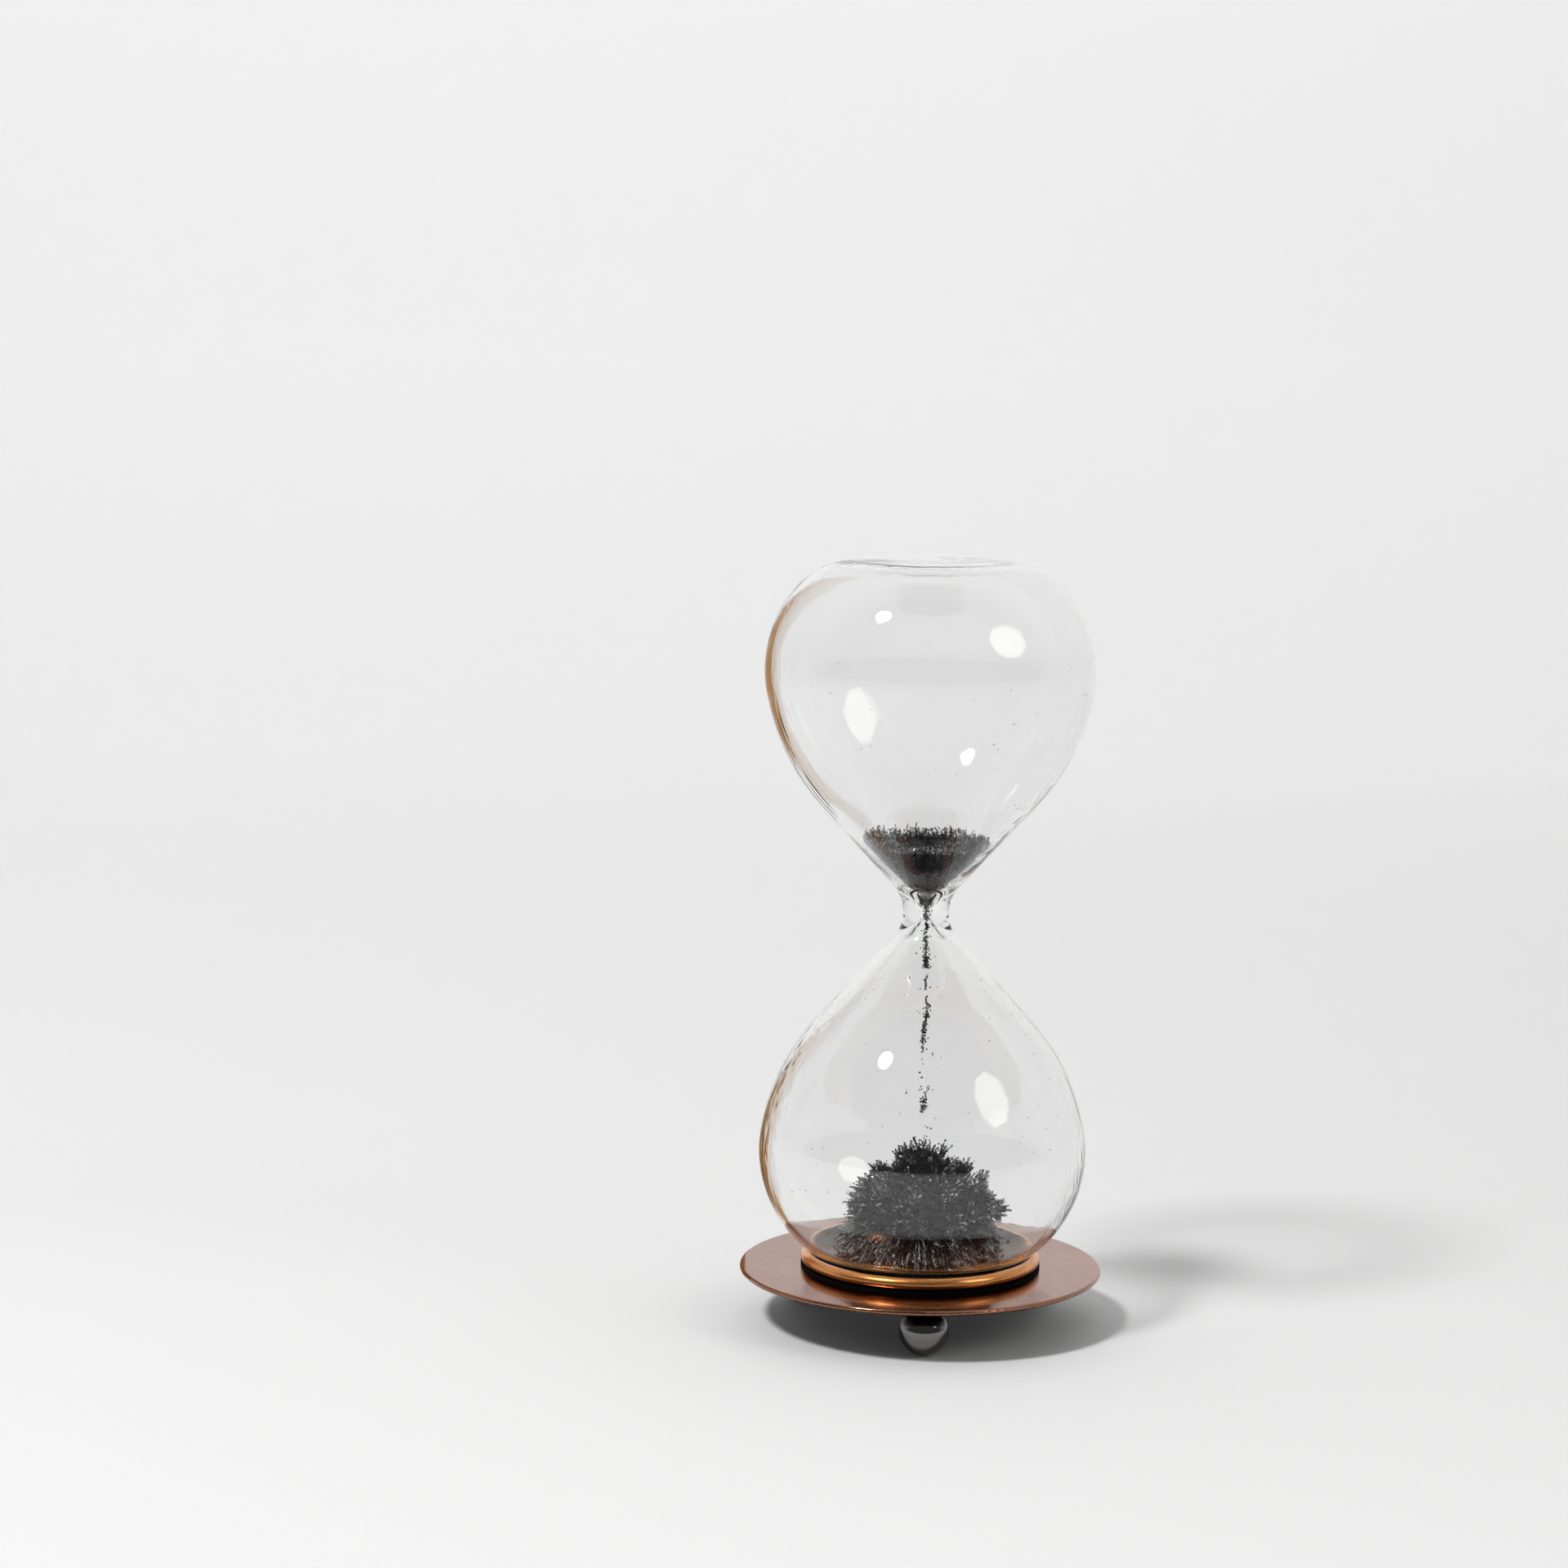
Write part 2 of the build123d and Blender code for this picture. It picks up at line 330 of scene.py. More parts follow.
def ferrite_material():
    """Ground ferrite: charcoal ceramic with grinding lines and lighter grain."""
    material, tree, shader = new_material("ferrite")
    position = object_position(tree)
    ground = vector_math(tree, "MULTIPLY", position, (1.0, 0.04, 1.0))
    lines = noise(tree, ground, 5200.0, detail=4.0, roughness=0.65)
    grain = noise(tree, position, 1800.0, detail=6.0, roughness=0.75)
    lighter = ramp(tree, grain, 0.35, 0.75, 0.0, 1.0)
    colour = blend_colours(tree, lighter, grey(0.028), (0.085, 0.085, 0.09, 1))
    tree.links.new(colour, shader.inputs["Base Color"])
    tree.links.new(ramp(tree, lines, 0.3, 0.7, 0.4, 0.62), shader.inputs["Roughness"])
    tree.links.new(bump(tree, lines, 0.3, 0.03 * MM), shader.inputs["Normal"])
    return material


def tape_material():
    """White foam tape, slightly yellowed, with small cells."""
    material, tree, shader = new_material("foam_tape")
    position = object_position(tree)
    cells = cell_distance(tree, position, 3800.0)
    ageing = noise(tree, position, 220.0, detail=4.0)
    colour = blend_colours(tree, ageing, (0.84, 0.83, 0.79, 1), (0.72, 0.69, 0.6, 1))
    tree.links.new(colour, shader.inputs["Base Color"])
    tree.links.new(ramp(tree, cells, 0.0, 0.6, 0.9, 0.7), shader.inputs["Roughness"])
    tree.links.new(bump(tree, cells, 0.4, 0.05 * MM), shader.inputs["Normal"])
    return material


def dress(node_names, material):
    """Gives CAD nodes a material, on their objects' own slots."""
    for name in node_names:
        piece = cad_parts[name]
        for slot in piece.material_slots:
            slot.link = "OBJECT"
            slot.material = material


# ---------------------------------------------------------------- mesh helpers
def add_piece(name, corners, faces, material, smooth, body, replaced):
    """A mesh piece that rides on a body and stands for a CAD node."""
    mesh = bpy.data.meshes.new(name)
    mesh.from_pydata(np.asarray(corners).tolist(), [], faces if isinstance(faces, list) else faces.tolist())
    mesh.polygons.foreach_set("use_smooth", [smooth] * len(mesh.polygons))
    mesh.materials.append(material)
    mesh.update()
    piece = bpy.data.objects.new(name, mesh)
    bpy.context.scene.collection.objects.link(piece)
    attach(piece, body)
    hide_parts(replaced)
    return piece


def unit(vectors):
    return vectors / np.maximum(np.linalg.norm(vectors, axis=-1, keepdims=True), 1e-12)


def revolve(radii, heights, segments, first_pole, last_pole):
    """Corners and faces of an outline turned about Z. A pole closes the outline's end on the axis.
    The outside is to the right of an outline that runs upwards."""
    angles = np.arange(segments) * 2 * math.pi / segments
    levels = np.repeat(heights[:, None], segments, 1)
    rings = [np.outer(radii, np.cos(angles)), np.outer(radii, np.sin(angles)), levels]
    corners = np.stack(rings, axis=2).reshape(-1, 3)
    faces = []
    for row in range(len(radii) - 1):
        for step in range(segments):
            after = (step + 1) % segments
            low, high = row * segments, (row + 1) * segments
            faces.append((low + step, low + after, high + after, high + step))
    points = [corners]
    total = len(corners)
    for pole, row, flip in ((first_pole, 0, True), (last_pole, len(radii) - 1, False)):
        if pole is None:
            continue
        points.append(np.array([[0.0, 0.0, pole]]))
        for step in range(segments):
            pair = (row * segments + step, row * segments + (step + 1) % segments)
            faces.append((*(reversed(pair) if flip else pair), total))
        total += 1
    return np.concatenate(points), faces


# ---------------------------------------------------------------- glass
def arc(start, heading, radius, sweep, steps):
    """Points after start on an arc that leaves it along heading and turns by sweep, both in radians."""
    side = math.copysign(radius, sweep)
    centre = (start[0] - side * math.sin(heading), start[1] + side * math.cos(heading))
    headings = heading + sweep * np.arange(1, steps + 1) / steps
    return [(centre[0] + side * math.sin(a), centre[1] - side * math.cos(a)) for a in headings]


def smooth_through(points, first_heading, last_heading, steps):
    """A smooth curve through points, with given headings at its ends."""
    points = np.array(points)
    gaps = np.linalg.norm(np.diff(points, axis=0), axis=1)[:, None]
    slopes = np.diff(points, axis=0) / gaps
    inner = (slopes[:-1] * gaps[1:] + slopes[1:] * gaps[:-1]) / (gaps[:-1] + gaps[1:])
    headings = np.concatenate([[first_heading], inner, [last_heading]])
    share = np.linspace(0, 1, steps + 1)[1:, None]
    curve = []
    for start, end, gap, leaves, arrives in zip(points, points[1:], gaps, headings, headings[1:]):
        rise = share**2 * (3 - 2 * share)
        curve.append(
            start * (1 - rise) + end * rise
            + gap * (leaves * share * (1 - share) ** 2 - arrives * share**2 * (1 - share))
        )
    return np.concatenate(curve)


def bulb_arcs(inset):
    """Radius and height above the neck, from the axis at the bulb's end to the end of its flank's arc."""
    level = HALF_LENGTH - inset
    outline = []
    for radius in np.linspace(0.4 * MM, LAND_INNER_RADIUS, 14):
        sunk = DIMPLE_DEPTH * (1 + math.cos(math.pi * radius / LAND_INNER_RADIUS)) / 2
        outline.append((radius, level - sunk))
    outline += [(radius, level) for radius in np.linspace(LAND_INNER_RADIUS, LAND_OUTER_RADIUS, 5)[1:]]
    heading = 0.0
    for radius, degrees in BULB_ARCS:
        sweep = -math.radians(degrees)
        outline += arc(outline[-1], heading, radius - inset, sweep, round(degrees / 2))
        heading += sweep
    return outline, heading


def outside_bulb():
    """The outside's outline: after its arcs, a straight flank and an arc that is upright at the neck."""
    outline, heading = bulb_arcs(0.0)
    start = Vector(outline[-1])
    run = Vector((math.cos(heading), math.sin(heading)))
    corner = start + run * ((NECK_RADIUS - start.x) / run.x)
    bend_start = corner - run * corner.y
    outline += [tuple(start.lerp(bend_start, share)) for share in np.linspace(0, 1, 12)[1:]]
    bend = -math.pi / 2 - heading
    outline += arc(outline[-1], heading, corner.y / math.tan(abs(bend) / 2), bend, 14)
    return np.array(outline)


def inside_bulb():
    """The inside's outline: after its arcs, the funnel that thickens the wall, and the bore."""
    outline, heading = bulb_arcs(GLASS_WALL)
    through = [outline[-1], *FUNNEL_SIDE, (BORE_RADIUS, FUNNEL_CORNER_HEIGHT)]
    funnel = smooth_through(through, (math.cos(heading), math.sin(heading)), (0.0, -1.0), 6)
    bore = [(BORE_RADIUS, height) for height in np.linspace(FUNNEL_CORNER_HEIGHT, 0, 4)[1:]]
    return np.concatenate([outline, funnel, bore])


def whole_outline(inset):
    """The outline of both bulbs, from the bottom end's axis up to the top end's."""
    upper = (inside_bulb() if inset else outside_bulb())[::-1]
    lower = upper[::-1][:-1] * [1, -1]
    both = np.concatenate([lower, upper])
    return both[:, 0], both[:, 1] + NECK_Z


def ripples(angle, height, amplitude):
    """Faint waves in blown glass, stronger round the bulb than along it."""
    total = np.zeros(np.broadcast(angle, height).shape)
    waves = np.random.default_rng(71)
    for order in (3, 5, 8, 13, 21, 27):
        twist, phase = waves.uniform(-60, 60), waves.uniform(0, 2 * math.pi)
        total += np.cos(order * angle + twist * height + phase) / order
    return amplitude * total


def build_glass(material):
    """The sealed vessel: an outside and an inside skin, each closed on the axis."""
    points, faces, inner = [], [], []
    for inset, amplitude, inward in ((0.0, OUTER_RIPPLE, False), (GLASS_WALL, INNER_RIPPLE, True)):
        radii, heights = whole_outline(inset)
        poles = [NECK_Z - HALF_LENGTH + inset + DIMPLE_DEPTH, NECK_Z + HALF_LENGTH - inset - DIMPLE_DEPTH]
        if not inward:
            near_seal = np.clip(1 - radii / SEAL_RADIUS, 0, 1) * (heights > NECK_Z)
            heights = heights + SEAL_HEIGHT * np.sin(near_seal * math.pi / 2) ** 0.6
            poles[1] += SEAL_HEIGHT
        skin, skin_faces = revolve(radii, heights, GLASS_SEGMENTS, *poles)
        angle = np.arctan2(skin[:, 1], skin[:, 0])
        radius = np.hypot(skin[:, 0], skin[:, 1])
        room = np.clip((radius - LAND_INNER_RADIUS / 2) / (2 * LAND_INNER_RADIUS), 0, 1)
        push = ripples(angle, skin[:, 2], amplitude) * room
        skin[:, 0] += np.cos(angle) * push
        skin[:, 1] += np.sin(angle) * push
        shift = sum(len(p) for p in points)
        for face in skin_faces:
            moved = tuple(shift + corner for corner in face)
            faces.append(moved[::-1] if inward else moved)
        points.append(skin)
        inner.append(np.full(len(skin), float(inward)))
    shell = add_piece("glass_shell", np.concatenate(points), faces, material, True,
                      "vessel", "glass_vessel")
    mark = shell.data.attributes.new("inner_skin", "FLOAT", "POINT")
    mark.data.foreach_set("value", np.concatenate(inner))
    return shell


# ---------------------------------------------------------------- filings
def grain_mesh(centres, directions, lengths, widths):
    """Corners and faces of one eight-sided grain per row, its long axis along its direction."""
    count = len(centres)
    along = unit(directions)
    upright = np.abs(along[:, 2:3]) < 0.9
    side = unit(np.cross(along, np.where(upright, [[0.0, 0.0, 1.0]], [[1.0, 0.0, 0.0]])))
    other = np.cross(along, side)
    roll = rng.uniform(0, 2 * math.pi, count)
    half = along * lengths[:, None] / 2
    corners = [centres + half, centres - half]
    for quarter in range(4):
        angle = roll + quarter * math.pi / 2
        reach = widths / 2 * rng.uniform(0.7, 1.3, count)
        waist = along * (lengths * rng.uniform(-0.15, 0.15, count))[:, None]
        across = side * (np.cos(angle) * reach)[:, None]
        corners.append(centres + waist + across + other * (np.sin(angle) * reach)[:, None])
    pattern = []
    for quarter in range(4):
        here, there = 2 + quarter, 2 + (quarter + 1) % 4
        pattern += [(0, here, there), (1, there, here)]
    faces = (np.arange(count)[:, None, None] * 6 + np.array(pattern)[None]).reshape(-1, 3)
    return np.stack(corners, axis=1).reshape(-1, 3), faces


def needles(roots, directions, lengths, widths, step, droop=0.0):
    """Chains of grains standing on their roots, thinner towards their tips, with painted shade at their roots
    and painted light towards their tips.
    Droop is how far a chain has sunk at a length of one metre, squared with the length."""
    directions = unit(directions)
    own = rng.uniform(0.15, 1.0, len(roots)) ** 2
    parts = []
    for link in range(int(np.ceil(lengths.max() / step))):
        grown = link * step < lengths
        count = int(grown.sum())
        place = (link + 0.5) * step
        share = np.clip(place / lengths[grown], 0, 1)
        sway = rng.normal(0, 0.2, (count, 3)) * step
        centres = roots[grown] + directions[grown] * place + sway - [0, 0, droop * place**2]
        tilt = directions[grown] + rng.normal(0, 0.42, (count, 3)) - [0, 0, 2 * droop * place]
        size = rng.uniform(0.7, 1.3, count)
        # Painted shading: the needle's own random tone, darkened towards its root as painted shade and
        # lightened towards its tip as painted light
        tone_and_painted_shading = own[grown] * (0.03 + 0.97 * share**2.2)
        parts.append((centres, tilt, step * 1.5 * size, widths[grown] * (1 - 0.35 * share) * size, tone_and_painted_shading))
    return [np.concatenate(column) for column in zip(*parts)]


def tuft_needles(centres, axes, count, reach, spread, radius):
    """Needles in tufts: each tuft is a small cone of needles leaning out from its axis."""
    axes = unit(axes)
    total = len(centres) * count
    owner = np.repeat(np.arange(len(centres)), count)
    offset = rng.normal(0, 1, (total, 3))
    offset -= axes[owner] * np.sum(offset * axes[owner], axis=1, keepdims=True)
    offset = unit(offset) * (radius * np.sqrt(rng.uniform(0, 1, total)))[:, None]
    out = np.linalg.norm(offset, axis=1) / radius
    directions = axes[owner] + offset / radius * spread + rng.normal(0, 0.13, (total, 3))
    lengths = reach[owner] * (1 - 0.55 * out**1.5) * rng.uniform(0.72, 1.05, total)
    return centres[owner] + offset, directions, lengths


# Tips of the mound's bristles: radius, and height above the mound's base
MOUND_SKIN = [
    (11.0 * MM, 0.4 * MM), (12.0 * MM, 3.0 * MM), (14.6 * MM, 5.2 * MM), (17.2 * MM, 6.8 * MM),
    (18.1 * MM, 8.8 * MM), (17.2 * MM, 11.6 * MM), (15.4 * MM, 14.2 * MM), (12.4 * MM, 16.4 * MM),
    (9.2 * MM, 17.6 * MM), (7.4 * MM, 18.2 * MM), (7.2 * MM, 20.2 * MM), (6.0 * MM, 22.2 * MM),
    (3.4 * MM, 23.6 * MM), (0.0, 24.3 * MM),
]
CORE_INSET = 2.3 * MM
CORE_SEGMENTS = 220
MOUND_TUFTS = 330
NEEDLES_PER_TUFT = 7
NEEDLES_PER_SHOULDER_TUFT = 26
LOWER_SHARE = 0.36
FIELD_SOURCE_HEIGHT = 6.5 * MM
GRAIN_STEP = 0.42 * MM

# Small tufts that stand out of the mound's shoulders: direction in degrees, lean from upright, tip's
# radius and tip's height above the mound's base
SHOULDER_TUFTS = [
    (183, 38, 11.2 * MM, 19.3 * MM), (150, 35, 12.4 * MM, 18.6 * MM), (212, 40, 13.2 * MM, 17.6 * MM),
    (-8, 22, 9.8 * MM, 20.6 * MM), (14, 30, 11.2 * MM, 20.0 * MM), (-30, 38, 13.6 * MM, 18.2 * MM),
    (48, 34, 12.0 * MM, 19.2 * MM), (95, 34, 12.6 * MM, 18.8 * MM), (-62, 42, 14.2 * MM, 16.6 * MM),
    (-100, 44, 14.4 * MM, 16.0 * MM), (-140, 42, 14.0 * MM, 16.8 * MM), (2, 50, 15.2 * MM, 17.4 * MM),
]

# The fringe that lies on the glass round the mound's foot
FRINGE_GROUPS = 26
FRINGE_NEEDLES = 56
FRINGE_DROOP = 55.0
# Painted light: the fringe's needles are drawn this many times lighter, for the lamp light that falls on them
FRINGE_PAINTED_LIGHT = 2.2

# The heap in the funnel, and the specks that cling to the glass or lie on its floor
HEAP_RAISED = 0.2 * MM
HEAP_DISH = 0.5 * MM
HEAP_WALL_GRAINS = 9000
HEAP_TOP_GRAINS = 5000
HEAP_TEETH = 700
HEAP_SEGMENTS = 200
CLINGING_SPECKS = {"upper": 40, "lower": 90}
LYING_SPECKS = 220


def sample_outline(outline, samples):
    """Points spread evenly along a polyline rounded by its own neighbours."""
    line = np.array(outline, float)
    lengths = np.concatenate([[0], np.cumsum(np.linalg.norm(np.diff(line, axis=0), axis=1))])
    even = np.linspace(0, lengths[-1], samples)
    points = np.stack([np.interp(even, lengths, line[:, axis]) for axis in (0, 1)], axis=1)
    for _ in range(samples // 12):
        points[1:-1] = (points[:-2] + 2 * points[1:-1] + points[2:]) / 4
    return points


def turned(radius, angle, height):
    """Points at a radius, an angle and a height, any of which may be an array."""
    radius, angle, height = np.broadcast_arrays(radius, angle, height)
    return np.stack([radius * np.cos(angle), radius * np.sin(angle), height], axis=-1)


def leaning(angle, lean):
    """Unit directions that lean from upright towards an angle, both in radians."""
    return turned(np.sin(lean), angle, np.cos(lean))


def bulge(angle, height):
    """The mound's own unevenness: a share of its radius, larger to the right near its foot."""
    share = 1 + 0.035 * np.cos(3 * angle + 1.0) + 0.03 * np.cos(5 * angle - 0.7 + 120 * height)
    low = np.clip(1 - height / (14 * MM), 0, 1)
    return share + 0.07 * low * np.cos(angle)


def inner_floor(radius):
    """The height of the glass under the filings at a radius."""
    shoulder = BULB_ARCS[0][0] - GLASS_WALL
    out = np.clip(radius - LAND_OUTER_RADIUS, 0, shoulder * 0.98)
    dimple = np.cos(np.clip(radius / LAND_INNER_RADIUS, 0, 1) * math.pi) * 0.5 + 0.5
    return glass_low.z + GLASS_WALL + shoulder - np.sqrt(shoulder**2 - out**2) + DIMPLE_DEPTH * dimple


def add_filings(name, corners, faces, material, replaced):
    """A faceted piece of filings, inside the vessel."""
    return add_piece(name, corners, faces, material, False, "vessel", replaced)


def add_grains(name, grains, material, replaced):
    """A piece of loose or bristling grains, kept off the glass floor, each with its own tone and painted
    shading.
    """
    centres, directions, lengths, widths, tone_and_painted_shading = grains
    floor = inner_floor(np.hypot(centres[:, 0], centres[:, 1])) + widths * 0.55
    low = centres[:, 2] < NECK_Z - 0.5 * HALF_LENGTH
    centres[:, 2] = np.where(low, np.maximum(centres[:, 2], floor), centres[:, 2])
    corners, faces = grain_mesh(centres, directions, lengths, widths)
    piece = add_filings(name, corners, faces, material, replaced)
    mark = piece.data.attributes.new("tone_and_painted_shading", "FLOAT", "POINT")
    mark.data.foreach_set("value", np.repeat(tone_and_painted_shading, 6))
    return piece


def loose_grains(centres, longest, widest):
    """Grains lying any way up, for add_grains."""
    count = len(centres)
    return (centres, rng.normal(0, 1, (count, 3)), rng.uniform(0.6, 1, count) * longest,
            rng.uniform(0.6, 1, count) * widest, rng.uniform(0, 1, count) ** 2.2)


def build_mound(material):
    """The mound over the magnet: a rough core that bristles with tufts along the field."""
    skin = sample_outline(MOUND_SKIN, 140)
    run = unit(np.gradient(skin, axis=0))
    core = skin - np.stack([run[:, 1], -run[:, 0]], axis=1) * CORE_INSET
    core = core[(core[:, 0] > 0.3 * MM) & (core[:, 1] >= 0)]
    core[0, 1] = 0.0

    # Rough core, drawn near black as painted shade inside the mound, since it carries no tone attribute
    levels = core[:, 1] + mound_low.z
    corners, faces = revolve(core[:, 0], levels, CORE_SEGMENTS, mound_low.z, levels[-1])
    swell = bulge(np.arctan2(corners[:, 1], corners[:, 0]), corners[:, 2] - mound_low.z)
    corners[:, :2] *= swell[:, None]
    corners += rng.normal(0, 0.12 * MM, corners.shape)
    corners[:, 2] = np.maximum(corners[:, 2], mound_low.z - 0.1 * MM)
    add_filings("filings_mound_core", corners, faces, material, "filings_mound")

    # Tufts spread evenly by area over the core, turned by the golden angle
    steps = np.concatenate([[0], np.linalg.norm(np.diff(core, axis=0), axis=1)])
    ring_area = core[:, 0] * np.gradient(np.cumsum(steps))
    share = np.cumsum(ring_area) / ring_area.sum()
    count = MOUND_TUFTS
    order = (np.arange(count) + 0.5) / count
    spot_radius = np.interp(order, share, core[:, 0])
    spot_height = np.interp(order, share, core[:, 1])
    angle = np.arange(count) * math.pi * (3 - math.sqrt(5)) + rng.normal(0, 0.1, count)
    centres = turned(spot_radius * bulge(angle, spot_height), angle, spot_height + mound_low.z)
    centres += rng.normal(0, 0.3 * MM, centres.shape)
    source = np.array([0.0, 0.0, mound_low.z + FIELD_SOURCE_HEIGHT])
    axes = unit(centres - source)
    reach = CORE_INSET * rng.uniform(0.7, 1.85, count)
    low = spot_height < LOWER_SHARE * (mound_high.z - mound_low.z)
    for name, chosen in (("filings_mound_lower", low), ("filings_mound_upper", ~low)):
        roots, directions, lengths = tuft_needles(
            centres[chosen], axes[chosen], NEEDLES_PER_TUFT, reach[chosen], 0.5, 1.0 * MM
        )
        widths = rng.uniform(0.5, 0.78, len(roots)) * MM
        grains = needles(roots, directions, lengths, widths, GRAIN_STEP)
        add_grains(name, grains, material, "filings_mound")

    # Tufts that stand out of its shoulders
    tufts = np.array(SHOULDER_TUFTS)
    angle, lean = np.radians(tufts[:, 0]), np.radians(tufts[:, 1])
    axes = leaning(angle, lean)
    reach = rng.uniform(3.4, 4.4, len(tufts)) * MM
    tips = turned(tufts[:, 2], angle, tufts[:, 3] + mound_low.z)
    feet = tips - axes * reach[:, None]
    roots, directions, lengths = tuft_needles(feet, axes, NEEDLES_PER_SHOULDER_TUFT, reach, 0.42, 1.3 * MM)
    widths = rng.uniform(0.46, 0.66, len(roots)) * MM
    grains = needles(roots, directions, lengths, widths, GRAIN_STEP)
    add_grains("filings_shoulder_tufts", grains, material, "filings_mound")


def build_fringe(material):
    """Tufts that hang outwards and down on to the glass round the mound's foot, with gaps between them."""
    angle = np.arange(FRINGE_GROUPS) * 2 * math.pi / FRINGE_GROUPS + rng.normal(0, 0.06, FRINGE_GROUPS)
    owner = np.repeat(np.arange(FRINGE_GROUPS), FRINGE_NEEDLES)
    count = len(owner)
    reach = rng.uniform(5.2, 8.2, FRINGE_GROUPS)[owner]
    level = rng.uniform(0, 1, count)
    fan = rng.normal(0, 0.055, count)
    roots = turned(
        rng.uniform(10.6, 12.4, count) * MM, angle[owner] + fan, mound_low.z + (0.2 + 5.6 * level) * MM
    )
    lift = np.radians(4 - 8 * level + rng.normal(0, 5, count))
    directions = leaning(angle[owner] + 2.6 * fan + rng.normal(0, 0.06, count), math.pi / 2 - lift)
    lengths = reach * rng.uniform(0.55, 1.0, count) * MM
    widths = rng.uniform(0.34, 0.46, count) * MM
    grains = needles(roots, directions, lengths, widths, GRAIN_STEP, FRINGE_DROOP)
    # Painted light on the fringe's needles
    grains[4] = np.clip(grains[4] * FRINGE_PAINTED_LIGHT, 0, 1)
    add_grains("filings_fringe", grains, material, "filings_mound")


def funnel_radius(height):
    """The inside radius of the glass at a height above the neck."""
    outline = inside_bulb()[::-1]
    return np.interp(height, outline[:, 1], outline[:, 0])


def build_heap(material):
    """The filings left in the funnel: grains against the glass, and teeth standing up round the back."""
    bottom = heap_low.z - NECK_Z
    top = heap_high.z - NECK_Z + HEAP_RAISED
    rim = funnel_radius(top)

    def surface(radius):
        return top - HEAP_DISH * (1 - (radius / rim) ** 2)

    side = np.linspace(bottom, top, 30)
    dish = np.linspace(rim, 0.6 * MM, 24)[1:]
    radii = np.concatenate([funnel_radius(side) - 0.35 * MM, dish])
    heights = np.concatenate([side, surface(dish)])
    corners, faces = revolve(radii, heights + NECK_Z, HEAP_SEGMENTS, bottom + NECK_Z, heights[-1] + NECK_Z)
    corners += rng.normal(0, 0.06 * MM, corners.shape)
    # The core carries no tone attribute, so it is drawn near black as painted shade inside the heap
    add_filings("filings_heap_core", corners, faces, material, "filings_heap")

    # Grains against the glass, evenly spread, and grains over the top
    height = bottom + (top - bottom) * rng.uniform(0.0, 1, HEAP_WALL_GRAINS) ** 0.55
    angle = rng.uniform(0, 2 * math.pi, HEAP_WALL_GRAINS)
    wall = turned(funnel_radius(height) - 0.16 * MM, angle, height + NECK_Z)
    radius = rim * np.sqrt(rng.uniform(0, 1, HEAP_TOP_GRAINS))
    angle = rng.uniform(0, 2 * math.pi, HEAP_TOP_GRAINS)
    proud = rng.uniform(-0.05, 0.28, HEAP_TOP_GRAINS) * MM
    over = turned(radius, angle, NECK_Z + surface(radius) + proud)
    grains = loose_grains(np.concatenate([wall, over]), 0.5 * MM, 0.34 * MM)
    grains[4][:HEAP_WALL_GRAINS] *= 0.25
    grains[4][HEAP_WALL_GRAINS:] *= 0.55
    add_grains("filings_heap_grains", grains, material, "filings_heap")

    # Upright teeth: tall round the back and the left, short or missing at the front right
    angle = rng.uniform(0, 2 * math.pi, HEAP_TEETH)
    share = rng.uniform(0, 1, HEAP_TEETH)
    radius = rim * (1 - 0.5 * share**1.5) - 0.3 * MM
    behind = np.clip(0.5 + 0.62 * np.sin(angle) - 0.28 * np.cos(angle), 0, 1)
    tall = (0.3 + 1.9 * behind * (1 - 0.6 * share)) * rng.uniform(0.8, 1.1, HEAP_TEETH) * MM
    roots = turned(radius, angle, NECK_Z + top - 0.15 * MM)
    directions = leaning(angle, np.abs(rng.normal(0, 0.12, HEAP_TEETH)))
    widths = rng.uniform(0.42, 0.6, HEAP_TEETH) * MM
    grains = needles(roots, directions, tall, widths, 0.7 * MM)
    add_grains("filings_heap_teeth", grains, material, "filings_heap")


# The falling filings, from above the neck down, in millimetres: height of the top and the bottom above the
# neck, how far each is off the axis, spread at the top and the bottom, and how thickly the run is filled
STREAM_RUNS = [
    (2.4, -0.4, 0.0, 0.0, 0.55, 0.45, 60), (-0.4, -3.4, 0.1, 0.25, 0.42, 0.3, 34),
    (-3.6, -4.6, 0.0, -0.1, 0.42, 0.42, 16), (-4.8, -7.6, 0.0, 0.2, 0.4, 0.38, 30),
    (-7.9, -12.5, 0.1, 0.25, 0.42, 0.62, 42), (-14.2, -15.2, 0.5, 0.1, 0.12, 0.16, 12),
    (-15.2, -17.6, 0.1, 0.3, 0.16, 0.14, 14), (-18.8, -21.2, 0.2, 0.7, 0.1, 0.3, 16),
    (-21.2, -27.5, 0.7, 0.0, 0.34, 0.34, 34), (-27.5, -29.6, -0.1, -0.3, 0.42, 0.34, 34),
    (-29.6, -31.4, -0.3, -0.25, 0.2, 0.08, 14), (-38.8, -41.6, 1.1, 0.5, 0.1, 0.3, 20),
    (-41.6, -45.0, 0.5, -0.1, 0.46, 0.42, 38),
]
CLUMP_SPACING = 0.75
STRAY_GRAINS = 46


